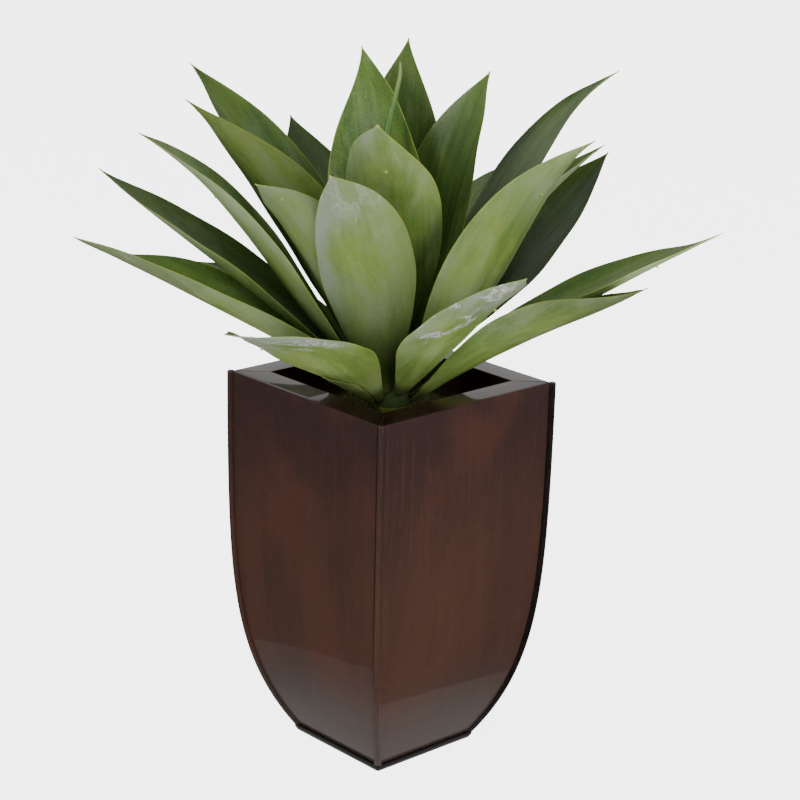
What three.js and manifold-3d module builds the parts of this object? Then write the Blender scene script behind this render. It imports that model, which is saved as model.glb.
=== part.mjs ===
// Potted foxtail agave: a rosette of broad pointed leaves on a short stem,
// set in a square planter of lacquered sheet metal with inward-folded rim.
// Units are millimetres, +Z up. The origin is the middle of the underside of
// the base plate, and the planter's sides run along X and Y.

import * as THREE from 'three';
import { mergeVertices } from 'three/addons/utils/BufferGeometryUtils.js';
import Module from 'manifold-3d';

const wasm = await Module();
wasm.setup();

// Planter

const POT_HEIGHT = 413;
const RIM_HALF = 120;
const SIDE_LEAN = 9;
const FOOT_DRAW = 49;
const FOOT_POWER = 5.25;
const SHEET = 1.5;
const RIM_FOLD_RADIUS = 3;
const RIM_WIDTH = 30;
const BEAD_RADIUS = 4;
const BEAD_SIDES = 8;
const BASE_HALF = 70;
const BASE_THICKNESS = 8;
const BASE_LIP = 2.5;
const BASE_LIP_HEIGHT = 4.5;
const BASE_BEVEL = 0.6;
const GAP = 0.3;
const MITRE_GAP = 0.5;
const FOLD_STEPS = 3;

// Heights where the curved side is divided, as shares of the pot's height.
const SIDE_SHARES = [0, 0.05, 0.1, 0.16, 0.23, 0.31, 0.4, 0.52, 0.7];

// Filling

const SOIL_TOP = 367;
const SOIL_CLEARANCE = 0.5;
const SOIL_CORNER = 8;
const MOSS_BOTTOM = SOIL_TOP + GAP;
const MOSS_RADIUS = 76;
const MOSS_WAVE = 5;
const MOSS_BUMP = 1.6;
const MOSS_SECTORS = 28;

// Stem, as radius and height from the foot of the rod to the crown's tip.

const ROD_RADIUS = 12;
const ROD_FOOT = 334;
const HOLE_CLEARANCE = 0.4;
const STEM_SIDES = 16;
const CROWN = [
  [ROD_RADIUS, 369],
  [22, 379],
  [24, 387],
  [22, 398],
  [19, 403],
  [15.5, 409],
  [12, 415],
  [9, 421],
  [7, 427],
  [5, 433],
];
const CROWN_TIP = 437;

// Leaves. Bearings are degrees round the stem from the planter's front corner,
// anticlockwise seen from above.

const FRONT_BEARING = -44;
const PATH_STEPS = 48;
const LEAF_SPANS = [0, 0.06, 0.13, 0.21, 0.3, 0.4, 0.5, 0.6, 0.7, 0.79, 0.87, 0.94, 1];
const SECTION_STEPS = 4;
const FOOT_WIDTH_SHARE = 0.16;
const FOOT_CHANNEL = 55;
const WIDEST_AT = 0.5;
const TIP_HALF_WIDTH = 0.8;
const RIB_THICKNESS = 1.0;
const RIB_FOOT_EXTRA = 1.6;
const MARGIN_THICKNESS = 0.8;
const NECK_LENGTH = 8;
const NECK_HALF_WIDTH = 4;
const NECK_THICKNESS = 3;
const SOCKET_CLEARANCE = 0.35;
const SOCKET_REACH = [0, 0.06, 0.13];

// One row a leaf, lowest first:
// bearing, sideways sweep, rise at foot, middle and tip, length, width,
// roll, twist, tip curl, channel angle in the middle and at the tip,
// height and radius of the foot.
const LEAVES = [
  [-41, -4, 41, 32, 27, 86, 34, 2, 6, 0, 25, 22, 385, 27],
  [73, -35, 38, 30, 30, 325, 118, 4, -22, 26, 56, 10, 391, 28],
  [-27, -1, 40, 24, 19, 325, 100, 29, -27, -10, 16, 33, 393, 27],
  [171, 0, 40, 28, 14, 345, 98, 8, 0, 0, 38, 38, 393, 26],
  [-54.5, -30.5, 38, 30.5, 26, 365, 118, 2, -19.5, 53, 56, 8, 395, 27.5],
  [74, 1, 37, 32, 32, 376, 97, 8, 2, -16, 44, 16, 396, 25],
  [-126, 0, 36, 20, 2, 280, 84, 10, 0, 0, 38, 38, 396, 24],
  [142, 0, 42, 29, 14, 330, 96, 10, 0, 0, 38, 38, 397, 24],
  [-73, 2, 48, 39.5, 42, 378, 98, -19, 14, -10, 44, 18, 397, 22],
  [117, 6, 46, 44.5, 43, 334, 105, -6, 24, 0, 17, 36, 399, 20],
  [-68, 5, 43, 54, 32, 384, 92, -12, 1, -6, 54, 26, 401, 20],
  [-11, -7, 57, 59, 29, 340, 102, 22, -9, 6, 34, 24, 401, 21],
  [23.5, 2, 41, 33, 32, 349, 91, -13, 49.5, -49, 34.5, 33.5, 401.5, 28.5],
  [-149, -6, 60, 40, 37, 355, 100, 0, 0, 0, 33, 28, 403, 15],
  [147, 2, 56, 41, 18, 322, 96, -2, -1, 0, 38, 34, 404, 19],
  [-41.5, 13, 56.5, 56, 23.5, 326, 97, 6.5, 1.5, 10, 51.5, 25, 406.5, 20],
  [59.5, -3, 43.5, 61, 34.5, 358, 106, -17.5, 4, 9, 41, 34.5, 408, 21],
  [89, -1, 51, 57, 38.5, 327, 97, 0, 1, 0, 38, 36, 408, 16],
  [-55, -4, 68, 55, 40, 388, 95, 38, -15, -10, 38, 26, 411, 16],
  [-115, -1, 68, 51.5, 42.5, 390, 100, -4, -6, 0, 24, 44, 412, 14],
  [100, 8, 55, 62, 29.5, 390, 100, 11, -6, -18, 12, 44, 416, 16],
  [-2, -3, 93, 56, 40, 355, 110, 0, -21, 0, 42, 24, 421, 9],
  [115, 3, 69, 78, 58, 323, 108, 16, 0, 2, 31, 18, 423, 12],
  [182, -13, 65, 80, 61.5, 347, 104, 14, -20, -8, 17, 33, 421, 12],
  [-157, 4.5, 66.5, 82, 50, 330, 112, -8.5, -52, -15, 38.5, 9, 432.5, 8],
];

// The rolled young leaf in the middle, as centre line points and radii.
const SPEAR_LINE = [
  [0, 0, 427],
  [-1.5, -1.5, 473],
  [-6, -6, 543],
  [-8.5, -8.5, 613],
  [-6.5, -6.8, 673],
  [-1.8, -1.9, 707],
  [1.4, 1.5, 731],
  [1.5, 1.6, 745],
];
const SPEAR_RADII = [2.2, 3.2, 4, 4.2, 4, 2.7, 2.1, 1.2];
const SPEAR_STEPS = 16;
const SPEAR_SIDES = 6;

const material = (color, roughness, metalness = 0) =>
  new THREE.MeshStandardMaterial({ color, roughness, metalness });

const LACQUER = () => material(0x3e241d, 0.3, 0.4);
const BLACK_LACQUER = () => material(0x141010, 0.3, 0.4);
const SOIL = () => material(0x2a211a, 0.95);
const MOSS = () => material(0x39421d, 0.95);
const LEAF = () => material(0x5d7533, 0.5);
const STEM = () => material(0x6d7c42, 0.6);
const YOUNG_LEAF = () => material(0x4f7a45, 0.5);

const root = new THREE.Group();

function addMesh(name, geometry, finish) {
  const mesh = new THREE.Mesh(geometry, finish);
  mesh.name = name;
  root.add(mesh);
  return mesh;
}

const radians = THREE.MathUtils.degToRad;

// Closed body through a row of rings that all have the same number of points.
// Each ring runs anticlockwise seen from the row's far end. A blade's upper face,
// the second half of its rings, is split along the same lines as its underside.
function loft(rings, blade = false) {
  const count = rings[0].length;
  const positions = rings.flat().flatMap((p) => [p.x, p.y, p.z]);
  const indices = [];
  for (let r = 0; r < rings.length - 1; r++) {
    for (let k = 0; k < count; k++) {
      const a = r * count + k;
      const b = r * count + ((k + 1) % count);
      if (blade && k >= count / 2) {
        indices.push(a, b, a + count, b, b + count, a + count);
      } else {
        indices.push(a, b, b + count, a, b + count, a + count);
      }
    }
  }
  const last = (rings.length - 1) * count;
  for (const [i, j, k] of capTriangles(count)) {
    indices.push(k, j, i);
    indices.push(last + i, last + j, last + k);
  }
  const geometry = new THREE.BufferGeometry();
  geometry.setAttribute('position', new THREE.Float32BufferAttribute(positions, 3));
  geometry.setIndex(indices);
  return geometry;
}

// Triangles that join a ring's points across, side to side.
function capTriangles(count) {
  const triangles = [];
  let low = 0;
  let high = count - 1;
  while (high - low > 1) {
    triangles.push([low, low + 1, high]);
    if (high - low > 2) {
      triangles.push([low + 1, high - 1, high]);
    }
    low++;
    high--;
  }
  return triangles;
}

function toManifold(geometry) {
  const bare = geometry.clone();
  bare.deleteAttribute('normal');
  bare.deleteAttribute('uv');
  const merged = mergeVertices(bare, 1e-4);
  return new wasm.Manifold(new wasm.Mesh({
    numProp: 3,
    vertProperties: new Float32Array(merged.attributes.position.array),
    triVerts: new Uint32Array(merged.index.array),
  }));
}

function fromManifold(solid) {
  const mesh = solid.getMesh();
  const geometry = new THREE.BufferGeometry();
  geometry.setAttribute('position', new THREE.Float32BufferAttribute(mesh.vertProperties, 3));
  geometry.setIndex(Array.from(mesh.triVerts));
  return geometry;
}

// Half the planter's width at a height: it leans in a little below the rim and
// is drawn in towards the foot.
function sideHalf(z) {
  const below = 1 - z / POT_HEIGHT;
  return RIM_HALF - SIDE_LEAN * below ** 2 - FOOT_DRAW * below ** FOOT_POWER;
}

const WALL_FOOT = BASE_THICKNESS + GAP;
const FOLD_START = POT_HEIGHT - RIM_FOLD_RADIUS;
const WALL_HEIGHTS = SIDE_SHARES.map((s) => WALL_FOOT + s * (FOLD_START - WALL_FOOT));

// Profile of one wall with its folded rim: pairs of distance from the axis and height.
function wallProfile() {
  const outer = WALL_HEIGHTS.map((z) => [sideHalf(z), z]);
  const inner = WALL_HEIGHTS.map((z) => [sideHalf(z) - SHEET, z]);
  const foldCentre = RIM_HALF - RIM_FOLD_RADIUS;
  const outerFold = [];
  const innerFold = [];
  for (let k = 0; k <= FOLD_STEPS; k++) {
    const angle = (k / FOLD_STEPS) * (Math.PI / 2);
    const c = Math.cos(angle);
    const s = Math.sin(angle);
    const insideRadius = RIM_FOLD_RADIUS - SHEET;
    outerFold.push([foldCentre + RIM_FOLD_RADIUS * c, FOLD_START + RIM_FOLD_RADIUS * s]);
    innerFold.push([foldCentre + insideRadius * c, FOLD_START + insideRadius * s]);
  }
  const lip = RIM_HALF - RIM_WIDTH;
  return [
    ...outer,
    ...outerFold,
    [lip, POT_HEIGHT],
    [lip, POT_HEIGHT - SHEET],
    ...innerFold.reverse(),
    ...inner.reverse(),
  ];
}

// The wall ends short of the corner bead, and its rim is mitred.
function wallHalfLength(distance, z) {
  const beside = sideHalf(Math.min(z, FOLD_START)) - BEAD_RADIUS - GAP;
  return z > FOLD_START ? Math.min(beside, distance - MITRE_GAP / 2) : beside;
}

function wallGeometry() {
  const profile = wallProfile();
  const flat = profile.map(([d, z]) => new THREE.Vector2(d, z));
  const faces = THREE.ShapeUtils.triangulateShape(flat, []);
  const count = profile.length;
  const positions = [];
  for (const side of [-1, 1]) {
    for (const [d, z] of profile) {
      positions.push(side * wallHalfLength(d, z), -d, z);
    }
  }
  const indices = [];
  for (let k = 0; k < count; k++) {
    const next = (k + 1) % count;
    indices.push(k, k + count, next + count, k, next + count, next);
  }
  for (const [a, b, c] of faces) {
    indices.push(a, b, c);
    indices.push(a + count, c + count, b + count);
  }
  const geometry = new THREE.BufferGeometry();
  geometry.setAttribute('position', new THREE.Float32BufferAttribute(positions, 3));
  geometry.setIndex(indices);
  return orientOutward(geometry);
}

// Turns every face over when a closed body has come out inside out.
function orientOutward(geometry) {
  const p = geometry.attributes.position;
  const index = geometry.index.array;
  let volume = 0;
  const corners = [new THREE.Vector3(), new THREE.Vector3(), new THREE.Vector3()];
  for (let k = 0; k < index.length; k += 3) {
    corners.forEach((v, i) => v.fromBufferAttribute(p, index[k + i]));
    volume += corners[0].dot(corners[1].clone().cross(corners[2]));
  }
  if (volume < 0) {
    for (let k = 0; k < index.length; k += 3) {
      [index[k + 1], index[k + 2]] = [index[k + 2], index[k + 1]];
    }
  }
  return geometry;
}

function addWalls() {
  ['wall_front_left', 'wall_front_right', 'wall_back_right', 'wall_back_left']
    .forEach((name, k) => {
      const wall = addMesh(name, wallGeometry(), LACQUER());
      wall.rotation.z = k * Math.PI / 2;
    });
}

// Round bead along one corner, following the side's curve.
function beadGeometry() {
  const heights = [...WALL_HEIGHTS, POT_HEIGHT];
  const rings = heights.map((z) => {
    const corner = sideHalf(z);
    const ring = [];
    for (let k = 0; k < BEAD_SIDES; k++) {
      const angle = (k / BEAD_SIDES) * 2 * Math.PI;
      const x = corner + BEAD_RADIUS * Math.cos(angle);
      const y = -corner + BEAD_RADIUS * Math.sin(angle);
      ring.push(new THREE.Vector3(x, y, z));
    }
    return ring;
  });
  return orientOutward(loft(rings));
}

function addBeads() {
  ['corner_bead_front', 'corner_bead_right', 'corner_bead_back', 'corner_bead_left']
    .forEach((name, k) => {
      const bead = addMesh(name, beadGeometry(), LACQUER());
      bead.rotation.z = k * Math.PI / 2;
    });
}

function squareRing(half, z) {
  const corners = [[-half, -half], [half, -half], [half, half], [-half, half]];
  return corners.map(([x, y]) => new THREE.Vector3(x, y, z));
}

// Square plate whose edge is drawn in towards the underside.
function addBasePlate() {
  const plate = loft([
    squareRing(BASE_HALF - BASE_LIP, 0),
    squareRing(BASE_HALF, BASE_LIP_HEIGHT),
    squareRing(BASE_HALF, BASE_THICKNESS - BASE_BEVEL),
    squareRing(BASE_HALF - BASE_BEVEL, BASE_THICKNESS),
  ]);
  addMesh('base_plate', orientOutward(plate), BLACK_LACQUER());
}

// Square ring with its corners cut, clear of the walls and beads.
function soilRing(z) {
  const half = sideHalf(z) - SHEET - SOIL_CLEARANCE;
  const cut = half - SOIL_CORNER;
  const corners = [
    [cut, -half], [half, -cut], [half, cut], [cut, half],
    [-cut, half], [-half, cut], [-half, -cut], [-cut, -half],
  ];
  return corners.map(([x, y]) => new THREE.Vector3(x, y, z));
}

function addSoil() {
  const heights = WALL_HEIGHTS.filter((z) => z < SOIL_TOP);
  const block = loft([...heights, SOIL_TOP].map(soilRing));
  const holeRadius = ROD_RADIUS + HOLE_CLEARANCE;
  const hole = new THREE.CylinderGeometry(holeRadius, holeRadius, SOIL_TOP, STEM_SIDES);
  hole.rotateX(Math.PI / 2);
  hole.translate(0, 0, ROD_FOOT - HOLE_CLEARANCE + SOIL_TOP / 2);
  const solid = toManifold(orientOutward(block)).subtract(toManifold(hole));
  addMesh('soil_fill', fromManifold(solid), SOIL());
}

// Moss ring round the stem: a low mound with an uneven edge and bumps.
function mossSection(angle) {
  const edge = MOSS_RADIUS
    + MOSS_WAVE * Math.sin(3 * angle + 0.6)
    + 0.6 * MOSS_WAVE * Math.sin(7 * angle + 2.1);
  const bump = (phase) => MOSS_BUMP * Math.sin(5 * angle + phase) * Math.sin(2 * angle + phase);
  const hole = CROWN[2][0] + GAP + HOLE_CLEARANCE;
  return [
    [hole, MOSS_BOTTOM],
    [hole, MOSS_BOTTOM + 10.5],
    [32, MOSS_BOTTOM + 13 + 0.5 * bump(0.4)],
    [45, MOSS_BOTTOM + 15.5 + bump(1.3)],
    [58, MOSS_BOTTOM + 15 + bump(2.9)],
    [edge - 7, MOSS_BOTTOM + 9.5 + bump(4.2)],
    [edge, MOSS_BOTTOM + 2.7 + 0.5 * bump(5.1)],
    [edge - 2, MOSS_BOTTOM],
  ];
}

function addMoss() {
  const rings = [];
  for (let k = 0; k < MOSS_SECTORS; k++) {
    const angle = (k / MOSS_SECTORS) * 2 * Math.PI;
    rings.push(mossSection(angle).map(([r, z]) =>
      new THREE.Vector3(r * Math.cos(angle), r * Math.sin(angle), z)));
  }
  const count = rings[0].length;
  const positions = rings.flat().flatMap((p) => [p.x, p.y, p.z]);
  const indices = [];
  for (let r = 0; r < MOSS_SECTORS; r++) {
    const here = r * count;
    const there = ((r + 1) % MOSS_SECTORS) * count;
    for (let k = 0; k < count; k++) {
      const next = (k + 1) % count;
      indices.push(here + k, here + next, there + next, here + k, there + next, there + k);
    }
  }
  const geometry = new THREE.BufferGeometry();
  geometry.setAttribute('position', new THREE.Float32BufferAttribute(positions, 3));
  geometry.setIndex(indices);
  addMesh('moss_layer', orientOutward(geometry), MOSS());
}

// Share of the full width at a share of the length: narrow foot, drawn-out tip.
function widthShare(t) {
  if (t < WIDEST_AT) {
    const growth = Math.sin((t / WIDEST_AT) * (Math.PI / 2)) ** 1.1;
    return FOOT_WIDTH_SHARE + (1 - FOOT_WIDTH_SHARE) * growth;
  }
  const v = (t - WIDEST_AT) / (1 - WIDEST_AT);
  return (1 - v * v) * (1 - 0.5 * v ** 6);
}

// Quadratic through values at the foot, the middle and the tip.
function through(foot, middle, tip, t) {
  return foot * (1 - t) * (1 - 2 * t) + middle * 4 * t * (1 - t) + tip * t * (2 * t - 1);
}

// A leaf's run: points of its midrib and the section's axes at any share t.
function leafRun(row) {
  const [bearing, sweep, riseFoot, riseMiddle, riseTip, length, width,
    roll, twist, curl, channel, channelTip, footHeight, footRadius] = row;

  const headingAt = (t) => radians(FRONT_BEARING + bearing + sweep * t);
  const directionAt = (t) => {
    const rise = radians(through(riseFoot, riseMiddle, riseTip, t));
    const heading = headingAt(t);
    return new THREE.Vector3(
      Math.cos(rise) * Math.cos(heading),
      Math.cos(rise) * Math.sin(heading),
      Math.sin(rise),
    );
  };

  const start = headingAt(0);
  const path = [new THREE.Vector3(
    footRadius * Math.cos(start),
    footRadius * Math.sin(start),
    footHeight,
  )];
  for (let k = 0; k < PATH_STEPS; k++) {
    const step = directionAt(k / PATH_STEPS)
      .add(directionAt((k + 1) / PATH_STEPS))
      .multiplyScalar(length / PATH_STEPS / 2);
    path.push(path[k].clone().add(step));
  }

  const pointAt = (t) => {
    const place = Math.min(t * PATH_STEPS, PATH_STEPS - 1e-6);
    const k = Math.floor(place);
    return path[k].clone().lerp(path[k + 1], place - k);
  };

  const channelAt = (t) => {
    const towardFoot = Math.max(1 - 2 * t, 0) ** 2;
    const towardTip = Math.max(2 * t - 1, 0) ** 2;
    return channel + (FOOT_CHANNEL - channel) * towardFoot + (channelTip - channel) * towardTip;
  };

  const sectionAt = (t) => {
    const direction = directionAt(t);
    const heading = headingAt(t);
    const level = new THREE.Vector3(-Math.sin(heading), Math.cos(heading), 0);
    const above = direction.clone().cross(level);
    const turn = radians(roll + twist * t + curl * t ** 4);
    const across = level.clone().multiplyScalar(Math.cos(turn)).addScaledVector(above, Math.sin(turn));
    const up = above.clone().multiplyScalar(Math.cos(turn)).addScaledVector(level, -Math.sin(turn));
    return {
      centre: pointAt(t),
      direction,
      across,
      up,
      halfWidth: Math.max((width / 2) * widthShare(t), TIP_HALF_WIDTH),
      bend: radians(channelAt(t)),
      rib: RIB_THICKNESS + RIB_FOOT_EXTRA * (1 - t) ** 3,
      margin: MARGIN_THICKNESS,
    };
  };

  // The neck runs back from the foot into the stem.
  const neckAt = (distance) => {
    const foot = sectionAt(0);
    return {
      ...foot,
      centre: foot.centre.clone().addScaledVector(foot.direction, -distance),
      halfWidth: NECK_HALF_WIDTH,
      rib: NECK_THICKNESS,
      margin: NECK_THICKNESS / 2,
    };
  };
  return { sectionAt, neckAt };
}

// Ring of a leaf's section: along the underside, then back along the upper face.
function sectionRing(section, grow = 0) {
  const { centre, across, up, rib, margin, bend } = section;
  const radius = section.halfWidth / bend;
  const reach = bend + grow / radius;
  const under = [];
  const upper = [];
  for (let k = 0; k <= SECTION_STEPS; k++) {
    const s = (2 * k) / SECTION_STEPS - 1;
    const half = (margin + (rib - margin) * (1 - s * s)) / 2 + grow;
    const angle = reach * s;
    const at = (distance) => centre.clone()
      .addScaledVector(across, distance * Math.sin(angle))
      .addScaledVector(up, radius - distance * Math.cos(angle));
    under.push(at(radius + half));
    upper.push(at(radius - half));
  }
  return [...under, ...upper.reverse()];
}

function leafGeometry(run) {
  const rings = [
    sectionRing(run.neckAt(NECK_LENGTH)),
    sectionRing(run.neckAt(NECK_LENGTH / 2)),
    ...LEAF_SPANS.map((t) => sectionRing(run.sectionAt(t))),
  ];
  return orientOutward(loft(rings, true));
}

// The room that a leaf's neck and foot need in the stem.
function socketGeometry(run) {
  const rings = [
    sectionRing(run.neckAt(NECK_LENGTH + SOCKET_CLEARANCE), SOCKET_CLEARANCE),
    sectionRing(run.neckAt(NECK_LENGTH / 2), SOCKET_CLEARANCE),
    ...SOCKET_REACH.map((t) => sectionRing(run.sectionAt(t), SOCKET_CLEARANCE)),
  ];
  return orientOutward(loft(rings, true));
}

function tubeRings(line, radii, steps, sides, grow = 0) {
  const curve = new THREE.CatmullRomCurve3(line.map((p) => new THREE.Vector3(...p)));
  const rings = [];
  for (let k = 0; k <= steps; k++) {
    const t = k / steps;
    const centre = curve.getPoint(t);
    const place = t * (radii.length - 1);
    const low = Math.min(Math.floor(place), radii.length - 2);
    const radius = THREE.MathUtils.lerp(radii[low], radii[low + 1], place - low) + grow;
    const ring = [];
    for (let i = 0; i < sides; i++) {
      const angle = (i / sides) * 2 * Math.PI;
      ring.push(new THREE.Vector3(
        centre.x + radius * Math.cos(angle),
        centre.y + radius * Math.sin(angle),
        centre.z,
      ));
    }
    rings.push(ring);
  }
  return rings;
}

function addRolledLeaf() {
  const rings = tubeRings(SPEAR_LINE, SPEAR_RADII, SPEAR_STEPS, SPEAR_SIDES);
  addMesh('rolled_leaf', orientOutward(loft(rings)), YOUNG_LEAF());
}

function spearSocket() {
  const line = [[0, 0, SPEAR_LINE[0][2] - SOCKET_CLEARANCE], SPEAR_LINE[0], SPEAR_LINE[1]];
  const radii = [SPEAR_RADII[0], SPEAR_RADII[0], SPEAR_RADII[1]];
  return orientOutward(loft(tubeRings(line, radii, 3, SPEAR_SIDES, SOCKET_CLEARANCE)));
}

function addStem(runs) {
  const profile = [
    new THREE.Vector2(0, ROD_FOOT),
    new THREE.Vector2(ROD_RADIUS, ROD_FOOT),
    ...CROWN.map(([r, z]) => new THREE.Vector2(r, z)),
    new THREE.Vector2(0, CROWN_TIP),
  ];
  const body = new THREE.LatheGeometry(profile, STEM_SIDES);
  body.rotateX(Math.PI / 2);
  let solid = toManifold(orientOutward(mergeVertices(positionOnly(body), 1e-4)));
  const sockets = [...runs.map(socketGeometry), spearSocket()];
  solid = sockets.reduce((left, socket) => left.subtract(toManifold(socket)), solid);
  const largest = solid.decompose().sort((a, b) => b.volume() - a.volume())[0];
  addMesh('stem', fromManifold(largest), STEM());
}

function positionOnly(geometry) {
  const bare = geometry.clone();
  bare.deleteAttribute('normal');
  bare.deleteAttribute('uv');
  return bare;
}

function addLeaves(runs) {
  runs.forEach((run, k) => {
    const name = `leaf_${String(k + 1).padStart(2, '0')}`;
    addMesh(name, leafGeometry(run), LEAF());
  });
}

addBasePlate();
addWalls();
addBeads();
addSoil();
addMoss();
const runs = LEAVES.map(leafRun);
addStem(runs);
addLeaves(runs);
addRolledLeaf();

export default root;
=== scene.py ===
"""Looks of the potted foxtail agave: leaves, planter, moss, light and camera. Units are metres, +Z up."""

import math

import bpy
import numpy as np
from mathutils import Matrix, Vector


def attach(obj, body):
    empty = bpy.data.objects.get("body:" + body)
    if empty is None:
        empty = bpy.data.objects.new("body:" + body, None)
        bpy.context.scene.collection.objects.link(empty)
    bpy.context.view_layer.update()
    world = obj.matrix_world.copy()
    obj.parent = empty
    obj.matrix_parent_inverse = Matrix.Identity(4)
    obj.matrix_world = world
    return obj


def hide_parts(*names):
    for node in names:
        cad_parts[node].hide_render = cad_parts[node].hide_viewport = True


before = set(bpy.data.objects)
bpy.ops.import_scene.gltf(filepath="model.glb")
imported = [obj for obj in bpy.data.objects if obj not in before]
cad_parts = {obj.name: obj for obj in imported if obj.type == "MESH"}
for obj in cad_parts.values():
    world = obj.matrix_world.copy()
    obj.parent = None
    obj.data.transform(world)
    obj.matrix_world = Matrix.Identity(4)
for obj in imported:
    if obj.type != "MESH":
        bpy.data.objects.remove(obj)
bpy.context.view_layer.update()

MM = 0.001

# Odd factors that scatter the digits of a sine, for random values at whole numbers.
LATTICE_FACTORS = (127.1, 311.7, 74.7, 19.19)
LATTICE_SPREAD = 43758.5453

# Planter, in millimetres, with the values of the part's source

POT_HEIGHT = 413
RIM_HALF = 120
SIDE_LEAN = 9
FOOT_DRAW = 49
FOOT_POWER = 5.25
SHEET = 1.5
RIM_FOLD_RADIUS = 3
RIM_WIDTH = 30
BEAD_RADIUS = 4
BASE_HALF = 70
BASE_THICKNESS = 8
BASE_LIP = 2.5
GAP = 0.3

# Planter's finer shape, for the looks alone. Rows of points crowd towards the foot.

MITRE_GAP = 0.9
WALL_ROWS = 60
WALL_COLUMNS = 24
ROW_POWER = 1.25
FOLD_STEPS = 8
SHEET_EDGE = 0.3
BEAD_SIDES = 24
BEAD_ROUNDING = 1.2
BEAD_TOP_STEPS = 4
BASE_CORNER_RADIUS = 2.2
BASE_CORNER_STEPS = 5

# Edge of the base plate, from its underside up, as outset from its side and height.
BASE_EDGE = [
    (-BASE_LIP - 0.8, 0), (-BASE_LIP, 0.5), (-0.25, 4.4), (0, 4.9), (0, BASE_THICKNESS - 0.6),
    (-0.6, BASE_THICKNESS),
]

# Walls and corners, anticlockwise from the front, each with a factor of painted light and shade on its
# lacquer. The seam takes a corner strip's faces up to SEAM_BEARING from the corner's outward direction.
WALLS = {"wall_front_left": 0.9, "wall_front_right": 1.12, "wall_back_right": 1.0, "wall_back_left": 1.0}
BEADS = {"front": 0.98, "right": 1.4, "back": 1.0, "left": 0.9}
CORNER_BEARING = -45
SEAM_BEARING = -45

# Finish of the front lips, by the place along the wall from its middle towards the front corner:
# polish falls to DULL_LIP, painted shade darkens the lips, and close to the corner painted shade darkens them
# further.
LIP_DEPTH = 1
DULL_LIP = 0.1
DULL_FROM = 0
DULL_TO = 45
LIP_PAINTED_SHADE = 0.55
CORNER_PAINTED_SHADE = 0.2
CORNER_FROM = 98
CORNER_TO = 112

# Polish of the corner strips at the foot, and the height at which it is full.
DULL_FOOT = 0.7
DULL_FOOT_HEIGHT = 110

# Filling

MOSS_BOTTOM = 367.3
MOSS_RADIUS = 76
MOSS_WAVE = 5
MOSS_HOLE = 24.8
MOSS_TOP = 384.0
MOSS_UNDERCUT = 1.5
MOSS_RINGS = 46
MOSS_SECTORS = 200

# Heights of the mound at shares of the way from its hole to its edge, and its lumps as
# (height, width, layer, seed).
MOSS_SHARES = [0, 0.14, 0.4, 0.65, 0.86, 0.96, 1.0]
MOSS_HEIGHTS = [378, 380.3, 382.6, 382.2, 377, 372, 369]
MOSS_LUMPS = [(1.5, 11, 0, 5), (0.8, 4.6, 1, 6), (0.45, 1.9, 2, 7)]

STRANDS = 5200
STRAND_SEED = 11
STRAND_INSET = 3
STRAND_ROOT = 0.6
STRAND_LEAN = (0.6, 1.6)
STRAND_HEIGHT = (1.4, 3.2)
STRAND_THICKNESS = (0.28, 0.5)
STRAND_BEND = 1.6
STRAND_RINGS = ((0.0, 1.0), (0.45, 0.8), (0.8, 0.5), (1.0, 0.12))

TWIG_LINE = [(-18, -72, 380), (-13, -74, 387), (-9, -74, 394), (-8, -71, 400)]
TWIG_RADII = [0.8, 0.9, 0.75, 0.35]
TWIG_STEPS = 24
TWIG_SIDES = 9
TWIG_BARK = 0.15

# Leaves, in millimetres and degrees, with the values of the part's source

FRONT_BEARING = -44
FOOT_WIDTH_SHARE = 0.16
FOOT_FLARE = 1.1
FOOT_CHANNEL = 55
WIDEST_AT = 0.5
RIB_THICKNESS = 1.0
RIB_FOOT_EXTRA = 1.6
NECK_LENGTH = 8

# Finer than in the part's source. Rows crowd towards the tip and columns towards the margins.
PATH_STEPS = 120
TIP_HALF_WIDTH = 0.5
MARGIN_THICKNESS = 0.7
MARGIN_ROUNDING = 0.45
NECK_SHARES = (0.4, 0.5)
LEAF_ROWS = 110
LEAF_COLUMNS = 30
ROW_SHIFT = 0.02
COLUMN_SPREAD = 0.92
LEAF_OFFSET = 3.7

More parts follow.
